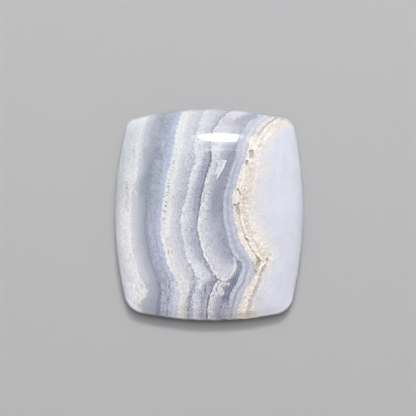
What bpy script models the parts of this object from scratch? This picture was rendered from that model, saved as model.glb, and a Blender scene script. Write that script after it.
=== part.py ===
"""Blue lace agate cabochon: one polished stone with a flat back, a low girdle and a domed face.

Metres, +Z up. The origin is the middle of the flat back. +Y runs to the stone's upper end, along
the bands, and +X to the side of the pale field. Run it with blender --background --python part.py
or from the text editor.
"""

import itertools
import math
import random

import bmesh
import bpy
from mathutils import Matrix, Vector
from mathutils.bvhtree import BVHTree

MM = 0.001

# Outline seen from above. The four side arcs would meet at these corners, anticlockwise from the
# lower left. Each corner has the radius that rounds it, and the bulge of the side that leaves it.
CORNERS = (
    {"at": (-10.72, -12.65), "radius": 2.9, "bulge": 1.27},
    {"at": (10.68, -12.85), "radius": 2.7, "bulge": 1.56},
    {"at": (11.14, 12.48), "radius": 2.1, "bulge": 1.47},
    {"at": (-10.78, 12.48), "radius": 1.3, "bulge": 1.70},
)
SIDE_STEPS = 22
CORNER_STEPS = 6

# Thickness, from the back up.
THICKNESS = 5.6 * MM
GIRDLE_TOP = 1.7 * MM
GIRDLE_LEAN = 0.20 * MM
BACK_BEVEL = 0.45 * MM

# The dome: a fuller curve has a larger power, and a rounder shoulder a smaller one.
DOME_FULLNESS = 2.2
DOME_SHOULDER = 0.55
CORNER_SPREAD = 4.0
DOME_RINGS = 18

# Open pits in the cream seam, on the domed face: middle, size along the pit, across and deep, and the
# way its length points, in degrees from +X. Pits that overlap make one hollow.
PITS = (
    {"name": "wedge_pit", "at": (5.62, 8.05), "size": (1.10, 0.42, 0.38), "turn": 80},
    {"name": "wedge_shelf", "at": (5.45, 8.35), "size": (0.72, 0.52, 0.26), "turn": 10},
    {"name": "drop_pit", "at": (4.94, 6.86), "size": (0.74, 0.42, 0.32), "turn": 78},
    {"name": "upper_slit", "at": (3.83, 3.26), "size": (0.56, 0.25, 0.26), "turn": 120},
    {"name": "lower_slit", "at": (4.07, 2.77), "size": (0.60, 0.24, 0.26), "turn": 110},
    {"name": "fork_left_arm", "at": (3.42, 1.27), "size": (0.60, 0.28, 0.28), "turn": 136},
    {"name": "fork_right_arm", "at": (3.80, 1.38), "size": (0.66, 0.30, 0.30), "turn": 61},
    {"name": "fork_stem", "at": (3.82, 0.64), "size": (1.44, 0.52, 0.36), "turn": 103},
    {"name": "hook_pit", "at": (4.99, -3.28), "size": (0.86, 0.34, 0.28), "turn": 135},
    {"name": "elbow_pit", "at": (6.45, -6.46), "size": (1.20, 0.62, 0.34), "turn": 79},
    {"name": "tip_pit", "at": (7.60, -5.92), "size": (0.70, 0.34, 0.26), "turn": 70},
)
PIT_ROUGHNESS = 0.16
PIT_SEED = 7

STONE_COLOUR = (0.66, 0.67, 0.74, 1.0)
STONE_ROUGHNESS = 0.12


def side_circle(start, end, bulge):
    """Centre and radius of the arc that runs anticlockwise from start to end and bulges outwards."""
    chord = end - start
    half = chord.length / 2
    radius = (half * half + bulge * bulge) / (2 * bulge)
    outward = Vector((chord.y, -chord.x)).normalized()
    return (start + end) / 2 - outward * (radius - bulge), radius


def corner_centre(corner, radius, before, after):
    """Centre of the round that touches the side arcs before and after a corner from the inside."""
    (centre_a, radius_a), (centre_b, radius_b) = before, after
    reach_a = radius_a - radius
    reach_b = radius_b - radius
    gap = centre_b - centre_a
    along = (reach_a**2 - reach_b**2 + gap.length_squared) / (2 * gap.length)
    across = math.sqrt(reach_a**2 - along**2)
    unit = gap.normalized()
    normal = Vector((-unit.y, unit.x))
    foot = centre_a + unit * along
    choices = (foot + normal * across, foot - normal * across)
    return min(choices, key=lambda point: (point - corner).length)


def arc_points(centre, radius, first, last, steps):
    """Points on an arc from angle first to angle last, without its end point."""
    return [
        centre + radius * Vector((math.cos(angle), math.sin(angle)))
        for angle in (first + (last - first) * step / steps for step in range(steps))
    ]


def heading(vector):
    return math.atan2(vector.y, vector.x)


def turned_on(angle, start):
    """The same direction as angle, written as the first value at or past start."""
    return start + (angle - start) % math.tau


def outline_points():
    """The closed outline at the girdle, anticlockwise, centred on its own bounding box."""
    corners = [Vector(corner["at"]) * MM for corner in CORNERS]
    count = len(corners)
    sides = [
        side_circle(corners[i], corners[(i + 1) % count], CORNERS[i]["bulge"] * MM)
        for i in range(count)
    ]
    rounds = [
        (
            corner_centre(corners[i], CORNERS[i]["radius"] * MM, sides[i - 1], sides[i]),
            CORNERS[i]["radius"] * MM,
        )
        for i in range(count)
    ]
    points = []
    for i in range(count):
        centre, radius = rounds[i]
        following = rounds[(i + 1) % count][0]
        side_centre, side_radius = sides[i]
        first = heading(centre - sides[i - 1][0])
        turn = turned_on(heading(centre - side_centre), first)
        side_end = turned_on(heading(following - side_centre), turn)
        points += arc_points(centre, radius, first, turn, CORNER_STEPS)
        points += arc_points(side_centre, side_radius, turn, side_end, SIDE_STEPS)
    low = Vector((min(p.x for p in points), min(p.y for p in points)))
    high = Vector((max(p.x for p in points), max(p.y for p in points)))
    return [point - (low + high) / 2 for point in points], (high - low) / 2


def dome_ring(outline, half_size, share):
    """One level of the dome: an ellipse near the crown that spreads to the outline at the girdle."""
    spread = share**CORNER_SPREAD
    height = (THICKNESS - GIRDLE_TOP) * (1 - share**DOME_FULLNESS) ** DOME_SHOULDER
    ring = []
    for point in outline:
        ray = point.normalized()
        ellipse = 1 / math.hypot(ray.x / half_size.x, ray.y / half_size.y)
        reach = share * (ellipse + spread * (point.length - ellipse - GIRDLE_LEAN))
        ring.append((*(ray * reach), GIRDLE_TOP + height))
    return ring


def inset_ring(outline, inset, height):
    """The outline drawn in by a width, at a height."""
    return [(*(point - point.normalized() * inset), height) for point in outline]


def stone_rings():
    """Every level of the stone, from the edge of the back to the ring round the crown."""
    outline, half_size = outline_points()
    rings = [inset_ring(outline, BACK_BEVEL, 0), inset_ring(outline, 0, BACK_BEVEL)]
    for step in range(DOME_RINGS, 0, -1):
        share = math.sin(math.pi / 2 * step / DOME_RINGS)
        rings.append(dome_ring(outline, half_size, share))
    return rings


def add_loop(mesh, points):
    """The edges of a closed loop through the points."""
    corners = [mesh.verts.new(point) for point in points]
    return [mesh.edges.new(pair) for pair in zip(corners, corners[1:] + corners[:1])]


def stone_mesh():
    """The whole stone before its pits: loops bridged from the back to the crown, and both ends closed."""
    mesh = bmesh.new()
    loops = [add_loop(mesh, ring) for ring in stone_rings()]
    for lower, upper in itertools.pairwise(loops):
        bmesh.ops.bridge_loops(mesh, edges=lower + upper)
    bmesh.ops.holes_fill(mesh, edges=loops[0] + loops[-1], sides=0)
    crown = max(mesh.faces, key=lambda face: face.calc_center_median().z)
    crown_point = bmesh.ops.poke(mesh, faces=[crown])["verts"][0]
    crown_point.co.z = THICKNESS
    bmesh.ops.recalc_face_normals(mesh, faces=mesh.faces)
    return mesh


def stone_material():
    material = bpy.data.materials.new("polished_agate")
    material.use_nodes = True
    shader = material.node_tree.nodes["Principled BSDF"]
    shader.inputs["Base Color"].default_value = STONE_COLOUR
    shader.inputs["Roughness"].default_value = STONE_ROUGHNESS
    shader.inputs["Metallic"].default_value = 0.0
    shader.inputs["IOR"].default_value = 1.54
    return material


def place_object(name, mesh):
    """A new object in the scene that holds the bmesh, which is freed."""
    data = bpy.data.meshes.new(name)
    mesh.to_mesh(data)
    mesh.free()
    item = bpy.data.objects.new(name, data)
    bpy.context.scene.collection.objects.link(item)
    return item


def pit_cutter(pit, surface, dice):
    """A rough-sided hollow, with its middle on the polished surface and its depth along the normal."""
    x, y = pit["at"]
    above = Vector((x * MM, y * MM, 2 * THICKNESS))
    point, normal, _, _ = surface.ray_cast(above, Vector((0, 0, -1)))
    long_way = Vector((math.cos(math.radians(pit["turn"])), math.sin(math.radians(pit["turn"])), 0))
    cross_way = normal.cross(long_way).normalized()
    axes = Matrix((cross_way.cross(normal), cross_way, normal)).transposed()
    length, width, depth = pit["size"]
    scale = Matrix.Diagonal((length / 2 * MM, width / 2 * MM, depth * MM))
    mesh = bmesh.new()
    bmesh.ops.create_icosphere(mesh, subdivisions=2, radius=1)
    for corner in mesh.verts:
        corner.co *= 1 + dice.uniform(-PIT_ROUGHNESS, PIT_ROUGHNESS)
    placed = Matrix.Translation(point) @ (axes @ scale).to_4x4()
    bmesh.ops.transform(mesh, matrix=placed, verts=mesh.verts)
    cutter = place_object(pit["name"], mesh)
    cutter.hide_render = True
    cutter.display_type = "WIRE"
    return cutter


def build():
    for item in list(bpy.data.objects):
        bpy.data.objects.remove(item)
    mesh = stone_mesh()
    surface = BVHTree.FromBMesh(mesh)
    stone = place_object("cabochon", mesh)
    stone.data.materials.append(stone_material())
    stone.data.shade_smooth()
    stone.data.set_sharp_from_angle(angle=math.radians(30))
    dice = random.Random(PIT_SEED)
    for pit in PITS:
        cut = stone.modifiers.new(pit["name"], "BOOLEAN")
        cut.operation = "DIFFERENCE"
        cut.solver = "EXACT"
        cut.object = pit_cutter(pit, surface, dice)


build()
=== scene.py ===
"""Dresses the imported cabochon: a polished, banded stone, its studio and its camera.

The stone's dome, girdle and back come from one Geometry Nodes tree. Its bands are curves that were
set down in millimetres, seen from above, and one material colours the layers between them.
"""

import itertools
import math

import bmesh
import bpy
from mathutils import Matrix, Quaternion, Vector


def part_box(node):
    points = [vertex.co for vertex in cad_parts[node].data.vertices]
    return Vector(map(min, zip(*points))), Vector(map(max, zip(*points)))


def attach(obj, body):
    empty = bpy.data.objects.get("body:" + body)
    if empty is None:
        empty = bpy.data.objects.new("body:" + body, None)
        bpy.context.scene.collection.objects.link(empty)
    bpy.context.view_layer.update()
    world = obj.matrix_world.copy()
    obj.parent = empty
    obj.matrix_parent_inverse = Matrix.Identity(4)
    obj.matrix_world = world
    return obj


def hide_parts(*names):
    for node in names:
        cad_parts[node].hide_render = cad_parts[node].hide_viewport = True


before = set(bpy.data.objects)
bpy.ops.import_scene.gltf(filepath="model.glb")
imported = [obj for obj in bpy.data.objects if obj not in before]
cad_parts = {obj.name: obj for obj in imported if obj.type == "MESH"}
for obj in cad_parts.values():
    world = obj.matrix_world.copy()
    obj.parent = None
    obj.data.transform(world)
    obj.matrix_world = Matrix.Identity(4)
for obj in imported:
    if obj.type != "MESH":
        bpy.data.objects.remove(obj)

bl_info = {
    "name": "Banded Cabochon",
    "version": (1, 0, 0),
    "blender": (4, 5, 0),
    "location": "3D View > Sidebar > Cabochon",
    "description": "Cuts and polishes a banded agate cabochon, and lights it",
    "category": "Add Mesh",
}

NODE = "cabochon"
PIECE = "polished_stone"
MM = 0.001
LOW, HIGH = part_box(NODE)

# The outline, as the model has it, in millimetres: the four side arcs would meet at these corners,
# anticlockwise from the lower left. Each has its rounding and the bulge of the side that leaves it.
CORNERS = (
    {"at": (-10.72, -12.65), "radius": 2.9, "bulge": 1.27},
    {"at": (10.68, -12.85), "radius": 2.7, "bulge": 1.56},
    {"at": (11.14, 12.48), "radius": 2.1, "bulge": 1.47},
    {"at": (-10.78, 12.48), "radius": 1.3, "bulge": 1.70},
)
SIDE_SAMPLES = 320

# Open pits in the cream seam, in millimetres: middle, size along the pit, across and deep, and the way
# that its length points, in degrees from +X.
PITS = (
    {"at": (5.60, 7.98), "size": (1.20, 0.52, 0.38), "turn": 80},
    {"at": (5.55, 8.30), "size": (0.74, 0.56, 0.30), "turn": 10},
    {"at": (4.94, 6.86), "size": (0.74, 0.42, 0.32), "turn": 78},
    {"at": (3.83, 3.26), "size": (0.56, 0.25, 0.26), "turn": 120},
    {"at": (4.07, 2.77), "size": (0.60, 0.24, 0.26), "turn": 110},
    {"at": (3.42, 1.27), "size": (0.60, 0.28, 0.28), "turn": 136},
    {"at": (3.80, 1.38), "size": (0.66, 0.30, 0.30), "turn": 61},
    {"at": (3.75, 0.64), "size": (1.44, 0.52, 0.36), "turn": 102},
    {"at": (4.99, -3.28), "size": (0.86, 0.34, 0.28), "turn": 135},
    {"at": (6.45, -6.46), "size": (1.20, 0.62, 0.34), "turn": 79},
    {"at": (7.60, -5.92), "size": (0.70, 0.34, 0.26), "turn": 70},
)

# The bands run along Y. Their curves are given on this span, a little past both ends of the stone.
SPAN = (-14.5, 14.5)
HALF_WIDTH_LIMIT = 13.0
THINNEST = 0.05

# Every layer from the -X side to the +X side, in millimetres seen from above. "end" is the curve on
# which a layer meets the next one: y and x of each of its points in turn. "top", "above" and "below"
# are its colours near the stone's upper end and on the two sides of the fold, each at a share of the
# layer's width. "lace" is how ragged its edges are, "pale" and "dark" are how thick its pale and dark
# grains lie, and "grain" is how strongly its tone varies.
LAYERS = {
    "rim_zone": {
        "end": (
            14.5, -9.8, 11.2, -10.58, 8.55, -10.65, 5.65, -10.7, 3.25, -11.15, -0.05, -11.7, -2.7, -11.6,
            -5.35, -11.05, -8.0, -10.1, -10.0, -9.75, -12.65, -9.46, -14.5, -9.65,
        ),
        "top": "0.0 aqua, 0.8 aqua",
        "above": "0.0 fog, 0.7 frost",
        "below": "0.0 veil, 0.6 veil, 0.95 snow",
        "lace": 0.1, "pale": 0.05, "dark": 0.1, "grain": 0.09,
    },
    "white_one": {
        "end": (
            14.5, -7.55, 12.5, -8.17, 10.55, -8.77, 7.5, -9.15, 5.25, -9.5, 3.25, -10.15, 1.65, -10.22,
            -1.4, -10.32, -3.75, -10.17, -6.3, -9.62, -8.4, -9.05, -9.85, -8.08, -10.8, -8.33,
            -11.45, -8.97, -12.25, -8.94, -14.5, -8.87,
        ),
        "top": "0.15 aqua, 0.6 fog, 0.85 milk",
        "above": "0.1 milk, 0.55 milk, 0.85 snow",
        "below": "0.1 milk, 0.5 milk, 0.85 snow",
        "lace": 0.1, "pale": 0.15, "dark": 0.4, "grain": 0.11,
    },
    "fading_lilac": {
        "end": (
            14.5, -6.25, 12.5, -6.96, 10.95, -7.66, 8.55, -7.72, 7.2, -8.02, 5.65, -8.3, 4.3, -8.8,
            3.0, -8.8, 1.8, -8.5, -1.4, -8.65, -3.35, -8.5, -5.35, -8.1, -7.35, -7.5, -8.65, -7.03,
            -9.75, -6.65, -11.3, -6.9, -14.5, -7.15,
        ),
        "top": "0.0 frost, 0.25 mist, 0.7 dove, 0.95 storm",
        "above": "0.04 frost, 0.16 haze, 0.4 mist, 0.7 pewter, 0.95 smoke",
        "below": "0.05 dove, 0.3 pewter, 0.6 lace, 0.95 smoke",
        "lace": 0.08, "pale": 0.0, "dark": 0.0, "grain": 0.03,
    },
    "dark_core": {
        "end": (
            14.5, -5.3, 12.5, -6.16, 10.55, -6.57, 8.55, -6.82, 7.2, -7.37, 5.9, -7.6, 4.55, -7.8,
            3.25, -7.75, 1.9, -8.03, 0.6, -8.1, -2.05, -8.2, -3.35, -7.95, -5.35, -7.7, -6.7, -7.35,
            -8.65, -6.48, -10.0, -6.27, -14.5, -6.5,
        ),
        "top": "0.15 smoke, 0.5 smoke, 0.9 slate",
        "above": "0.2 slate, 0.5 ash, 0.9 ash",
        "below": "0.1 ink, 0.7 ink, 0.9 ash",
        "lace": 0.2, "pale": 0.0, "dark": 0.1, "grain": 0.1,
    },
    "blue_lace": {
        "end": (
            14.5, -3.85, 12.5, -4.55, 11.2, -5.15, 9.2, -5.45, 7.5, -5.65, 5.9, -6.15, 3.9, -6.4, 1.9, -6.6,
            -0.05, -6.85, -2.7, -6.9, -4.7, -6.6, -6.3, -6.13, -7.6, -5.57, -8.65, -5.06, -10.0, -5.0,
            -11.3, -5.3, -14.5, -5.45,
        ),
        "top": "0.1 slate, 0.4 lace, 0.9 lace",
        "above": "0.05 slate, 0.4 lace, 0.7 lace, 0.95 lace",
        "below": "0.1 sky, 0.4 lace, 0.65 sky, 0.84 ash",
        "lace": 0.2, "pale": 0.12, "dark": 0.2, "grain": 0.19,
    },
    "periwinkle": {
        "end": (
            14.5, -3.2, 12.5, -3.95, 11.2, -4.25, 9.2, -4.55, 7.9, -4.8, 6.15, -5.28, 4.55, -5.75,
            3.25, -5.83, 1.25, -6.15, -1.4, -6.36, -3.35, -6.21, -5.35, -5.73, -7.35, -5.14, -8.55, -4.44,
            -10.0, -4.05, -14.5, -4.35,
        ),
        "top": "0.1 sky, 0.8 sky",
        "above": "0.1 sky, 0.85 sky",
        "below": "0.1 ice, 0.4 ice, 0.65 veil, 0.9 mist",
        "lace": 0.2, "pale": 0.0, "dark": 0.05, "grain": 0.12,
    },
    "white_two": {
        "end": (
            14.5, -2.25, 12.5, -2.85, 11.2, -3.25, 9.2, -3.45, 7.2, -4.1, 5.65, -4.15, 4.3, -4.65,
            1.9, -4.82, -1.4, -5.25, -3.35, -5.3, -5.35, -4.7, -6.7, -4.35, -8.0, -3.45, -9.35, -2.65,
            -10.25, -2.65, -11.3, -3.05, -14.5, -3.45,
        ),
        "top": "0.1 fog, 0.3 milk, 0.5 chalk, 0.85 milk",
        "above": "0.06 fog, 0.25 snow, 0.5 chalk, 0.85 milk",
        "below": "0.1 milk, 0.3 snow, 0.7 milk, 0.9 milk",
        "lace": 0.16, "pale": 0.15, "dark": 0.35, "grain": 0.06,
    },
    "lavender": {
        "end": (
            14.5, -1.2, 11.85, -1.7, 8.8, -2.25, 6.55, -3.1, 4.55, -3.47, 3.25, -3.7, 1.9, -4.15,
            0.35, -4.15, -2.3, -4.28, -4.05, -3.87, -6.0, -3.25, -7.6, -2.33, -8.95, -2.22, -10.25, -2.6,
            -11.6, -2.9, -14.5, -3.05,
        ),
        "top": "0.1 frost, 0.5 haze, 0.9 haze",
        "above": "0.1 frost, 0.5 haze, 0.75 mist, 0.95 haze",
        "below": "0.1 haze, 0.5 haze, 0.7 fog, 0.9 haze",
        "lace": 0.2, "pale": 0.05, "dark": 0.2, "grain": 0.09,
    },
    "blue_thread": {
        "end": (
            14.5, -0.25, 11.85, -1.3, 8.8, -1.93, 7.2, -1.75, 5.9, -2.27, 4.55, -2.58, 3.25, -2.78,
            1.9, -3.12, 0.6, -3.55, -2.05, -3.7, -3.35, -3.35, -4.7, -3.15, -6.3, -2.65, -7.35, -2.1,
            -8.65, -1.44, -10.0, -1.55, -11.3, -2.1, -14.5, -2.1,
        ),
        "top": "0.1 dove, 0.4 mist, 0.6 mist, 0.85 ice",
        "above": "0.1 dove, 0.5 thread, 0.9 storm",
        "below": "0.1 pewter, 0.5 storm, 0.7 ice, 0.9 ice",
        "lace": 0.26, "pale": 0.1, "dark": 0.3, "grain": 0.22,
    },
    "pale_three": {
        "end": (
            14.5, 1.2, 11.85, -0.19, 9.85, -1.0, 8.55, -0.95, 7.2, -1.05, 5.9, -1.45, 4.55, -1.8,
            3.25, -2.3, 1.9, -2.5, 0.6, -2.7, -0.75, -2.82, -2.05, -3.2, -3.35, -3.05, -4.7, -2.5,
            -5.65, -2.0, -6.55, -1.05, -7.35, -0.4, -8.15, 0.0, -8.8, -0.51, -10.0, -0.61, -11.3, -1.0,
            -14.5, -1.2,
        ),
        "top": "0.08 fog, 0.4 frost, 0.85 haze",
        "above": "0.04 fog, 0.15 milk, 0.4 frost, 0.92 haze",
        "below": "0.1 fog, 0.35 fog, 0.6 haze, 0.9 mist",
        "lace": 0.16, "pale": 0.15, "dark": 0.2, "grain": 0.14,
    },
    "dusky_lavender": {
        "end": (
            14.5, 3.93, 13.6, 2.73, 12.8, 1.63, 11.7, 0.95, 11.2, 0.6, 9.85, 0.3, 8.55, 0.2, 7.2, 0.2,
            6.15, -0.15, 5.1, -0.4, 3.8, -0.8, 1.9, -1.05, 0.35, -1.3, -1.8, -1.5, -3.35, -1.18,
            -4.7, -0.83, -6.0, -0.43, -6.95, -0.04, -7.75, 0.4, -8.3, 0.95, -8.6, 1.35, -8.75, 0.9,
            -9.2, 0.6, -9.75, 0.4, -10.55, 0.15, -11.3, -0.05, -12.4, -0.2, -13.05, -0.25, -14.5, -0.15,
        ),
        "top": "0.05 haze, 0.3 mist, 0.7 dove, 0.94 slate",
        "above": "0.05 mist, 0.3 dove, 0.5 storm, 0.8 smoke, 0.95 ash",
        "below": "0.1 slate, 0.3 pewter, 0.5 pewter, 0.7 dove, 0.95 pewter",
        "lace": 0.08, "pale": 0.15, "dark": 0.3, "grain": 0.17,
    },
    "tongue_lace": {
        "end": (
            14.5, 4.63, 13.6, 3.33, 12.5, 2.13, 11.45, 1.45, 9.85, 1.05, 8.55, 0.8, 7.2, 0.65, 6.15, 0.55,
            5.1, 0.2, 3.8, -0.15, 1.9, -0.45, 0.6, -0.65, -1.8, -0.95, -3.35, -0.75, -4.7, -0.4, -6.0, 0.15,
            -7.1, 0.65, -7.9, 1.2, -8.4, 1.7, -8.65, 2.1, -9.05, 1.4, -10.0, 1.05, -10.9, 0.75, -12.0, 0.45,
            -14.5, 0.4,
        ),
        "top": "0.1 haze, 0.5 frost, 0.95 haze",
        "above": "0.02 snow, 0.25 milk, 0.45 frost, 0.95 haze",
        "below": "0.02 snow, 0.3 fog, 0.5 frost, 0.85 haze",
        "lace": 0.2, "pale": 0.3, "dark": 0.3, "grain": 0.24,
    },
    "tongue": {
        "end": (
            14.5, 7.55, 13.45, 6.2, 12.8, 5.6, 11.85, 4.85, 11.05, 4.35, 9.85, 3.89, 8.55, 3.53, 7.6, 3.4,
            6.7, 3.05, 5.65, 2.7, 4.55, 2.35, 3.25, 2.05, 2.2, 1.84, 0.2, 1.76, -1.0, 1.89, -2.05, 2.16,
            -3.35, 2.44, -4.45, 2.75, -5.1, 3.0, -5.6, 3.35, -6.0, 3.6, -6.8, 3.7, -7.35, 3.6, -7.9, 3.4,
            -8.3, 3.15, -8.6, 2.8, -9.05, 2.85, -9.45, 2.7, -10.0, 2.25, -10.65, 1.9, -11.3, 1.7,
            -12.65, 1.6, -14.5, 1.6,
        ),
        "top": "0.05 frost, 0.2 dove, 0.33 smoke, 0.45 ash, 0.8 ash",
        "above": "0.05 haze, 0.25 pewter, 0.42 slate, 0.7 ash, 0.95 ash",
        "below": "0.05 haze, 0.35 pewter, 0.6 slate, 0.8 ash, 0.95 ink",
        "lace": 0.05, "pale": 0.0, "dark": 0.0, "grain": 0.09,
    },
    "slate_wedge": {
        "end": (
            14.5, 7.6, 13.45, 6.25, 12.8, 5.65, 11.85, 4.9, 11.05, 4.4, 9.85, 3.94, 8.55, 3.58, 7.6, 3.45,
            6.7, 3.1, 5.65, 2.75, 4.55, 2.4, 3.25, 2.1, 2.2, 1.89, 0.2, 1.81, -1.0, 1.93, -2.05, 2.21,
            -3.35, 2.49, -4.45, 2.8, -5.5, 3.32, -5.92, 3.65, -6.1, 4.15, -6.45, 4.4, -7.1, 4.35,
            -7.75, 4.1, -8.55, 3.75, -9.35, 3.4, -10.0, 2.95, -10.8, 2.7, -11.85, 2.5, -12.9, 2.25,
            -14.5, 2.1,
        ),
        "top": "0.5 ash",
        "above": "0.15 ink, 0.85 ink",
        "below": "0.06 night, 0.95 night",
        "lace": 0.1, "pale": 0.0, "dark": 0.15, "grain": 0.33,
    },
    "light_threads": {
        "end": (
            14.5, 10.45, 13.6, 9.2, 12.95, 8.2, 12.5, 7.5, 11.6, 6.43, 10.75, 6.05, 9.85, 5.35, 8.8, 5.11,
            7.75, 4.87, 6.75, 4.47, 5.4, 3.96, 3.65, 3.58, 2.6, 3.17, 0.85, 3.22, -0.2, 3.32, -1.8, 3.7,
            -3.25, 4.05, -4.55, 4.75, -5.9, 5.72, -6.7, 6.05, -7.35, 5.82, -8.15, 5.5, -8.75, 5.54,
            -9.55, 4.95, -10.4, 4.35, -11.3, 4.1, -12.2, 3.75, -12.9, 3.65, -14.5, 3.6,
        ),
        "top": "0.05 thread, 0.2 ice, 0.36 mist, 0.5 ice, 0.66 frost, 0.85 mist",
        "above": "0.05 thread, 0.27 thread, 0.36 storm, 0.52 pewter, 0.65 thread, 0.85 dove",
        "below": "0.05 thread, 0.33 haze, 0.42 smoke, 0.5 smoke, 0.58 dove, 0.66 haze, 0.95 mist",
        "lace": 0.12, "pale": 0.0, "dark": 0.05, "grain": 0.11,
    },
    "seam_left": {
        "end": (
            14.5, 11.5, 13.45, 10.05, 12.85, 9.15, 12.5, 8.5, 12.25, 7.95, 11.7, 7.55, 11.2, 7.05,
            10.6, 6.7, 9.2, 5.95, 8.3, 5.65, 7.2, 5.25, 6.55, 4.95, 5.25, 4.57, 3.9, 4.33, 3.0, 3.95,
            0.85, 3.85, 0.0, 3.95, -1.45, 4.2, -2.85, 4.75, -4.65, 5.65, -5.5, 6.3, -6.0, 6.8, -6.5, 7.4,
            -6.8, 7.15, -7.35, 6.9, -8.4, 6.6, -9.35, 6.28, -10.15, 5.87, -11.05, 5.48, -11.7, 5.3,
            -12.4, 5.1, -14.5, 4.9,
        ),
        "top": "0.05 frost, 0.3 shell, 0.55 sand, 0.85 cream, 0.95 sand",
        "above": "0.08 ivory, 0.3 sand, 0.55 cream, 0.85 ivory, 0.97 ivory",
        "below": "0.03 haze, 0.12 shell, 0.3 cream, 0.75 ivory, 0.9 ivory",
        "lace": 0.12, "pale": 0.4, "dark": 0.3, "grain": 0.1,
    },
    "seam_right": {
        "end": (
            14.5, 12.2, 12.8, 10.45, 12.0, 9.41, 11.45, 8.23, 10.8, 7.81, 10.15, 7.4, 9.2, 7.0, 8.3, 6.73,
            7.2, 6.17, 6.3, 6.1, 5.25, 5.72, 3.9, 5.36, 2.6, 5.3, 1.25, 5.11, -0.05, 5.02, -1.4, 5.39,
            -2.7, 6.17, -3.75, 6.9, -4.7, 7.55, -5.65, 8.35, -6.15, 8.26, -6.8, 7.78, -7.6, 7.49,
            -8.4, 7.13, -9.35, 6.81, -10.25, 6.34, -11.05, 6.03, -12.0, 5.95, -14.5, 5.75,
        ),
        "top": "0.1 ivory, 0.3 shell, 0.6 sand, 0.9 shell",
        "above": "0.08 ivory, 0.28 cream, 0.5 tan, 0.85 sand",
        "below": "0.1 tan, 0.35 umber, 0.65 chalk, 0.9 pearl",
        "lace": 0.16, "pale": 0.35, "dark": 0.3, "grain": 0.17,
    },
    "seam_fading": {
        "end": (
            14.5, 12.7, 12.25, 11.25, 11.6, 10.47, 11.2, 9.34, 10.65, 8.8, 10.0, 8.2, 9.1, 7.8, 8.3, 7.5,
            7.2, 7.21, 5.9, 7.09, 4.55, 6.5, 3.25, 6.3, 1.9, 6.2, 0.35, 6.35, -1.0, 6.75, -2.3, 7.3,
            -3.35, 7.8, -4.45, 8.29, -5.35, 8.6, -5.9, 8.41, -6.55, 8.04, -7.35, 7.75, -8.4, 7.3,
            -9.35, 7.15, -10.25, 6.65, -11.3, 6.07, -12.4, 6.17, -14.5, 6.15,
        ),
        "top": "0.1 shell, 0.5 pearl, 0.9 pearl",
        "above": "0.1 shell, 0.5 shell, 0.9 pearl",
        "below": "0.1 shell, 0.5 shell, 0.9 shell",
        "lace": 0.14, "pale": 0.15, "dark": 0.1, "grain": 0.11,
    },
    "pale_field": {
        "top": "0.01 pearl, 0.16 veil",
        "above": "0.01 pearl, 0.18 veil",
        "below": "0.01 pearl, 0.12 veil",
        "lace": 0.02, "pale": 0.0, "dark": 0.0, "grain": 0.003,
    },
}
LAYER_NAMES = list(LAYERS)

# A ramp holds 32 stops at most, so the layers are shared out over several. Each of these starts one.
RAMP_STARTS = ("rim_zone", "lavender", "slate_wedge")

# The fold on which every layer bends, in millimetres: it is level as far as the tongue's tip and then
# rises to the +X side.
FOLD_LEVEL = -8.9
FOLD_TURN = 1.0
FOLD_SLOPE = 0.45
FOLD_SOFTNESS = 0.5

# How far the tongue's light side reaches over its dark side, from 0 to 1: y of each place in
# millimetres, and the value there, in turn.
TONGUE_LIGHT = (
    14.5, 0.7, 12.0, 0.75, 10.0, 0.72, 8.6, 0.46, 7.2, 0.3, 6.2, 0.1, 5.0, 0.0, 1.5, 0.0, -0.5, 0.25,
    -3.0, 0.45, -4.6, 0.45, -6.0, 0.55, -7.0, 0.85, -8.0, 0.9, -14.5, 0.3,
)

# How strong the brown vein in the middle of the seam is, from 0 to 1, written in the same way.
VEIN_STRENGTH = (
    14.5, 0.6, 12.5, 0.9, 10.6, 0.7, 9.0, 0.3, 5.0, 0.25, 1.0, 0.5, -0.5, 0.9, -6.5, 1.0, -12.0, 0.8,
    -14.5, 0.8,
)

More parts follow.
